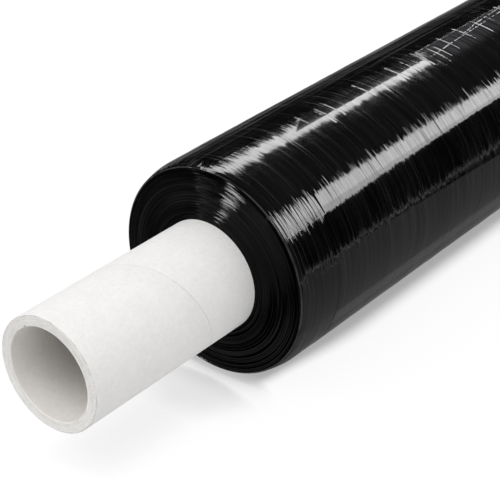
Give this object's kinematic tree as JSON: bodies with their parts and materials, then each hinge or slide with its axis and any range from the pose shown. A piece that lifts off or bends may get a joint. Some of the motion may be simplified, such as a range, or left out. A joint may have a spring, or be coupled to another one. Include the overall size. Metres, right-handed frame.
{
  "type": "stretch wrap roll",
  "caption": "Hand roll of glossy black stretch film wound on a long white paperboard core, whose bare end is the handle.",
  "frame": {"origin": "centre of the flush end of the roll, on which it stands", "axes": "+Z along the roll's axis towards the bare end of the core, which is the handle; the free end of the film lies between +X and -Y"},
  "size_m": [0.1234, 0.1234, 0.575],
  "materials": {
    "core_paperboard": "matte off-white paperboard, wound in a helix, with fine fibres and a hairline seam",
    "black_film": "glossy black stretch film, with fine rings round the roll where its turns lie under tension"
  },
  "bodies": {
    "root": {"core_tube": "core_paperboard", "film_roll": "black_film"}
  },
  "joints": []
}
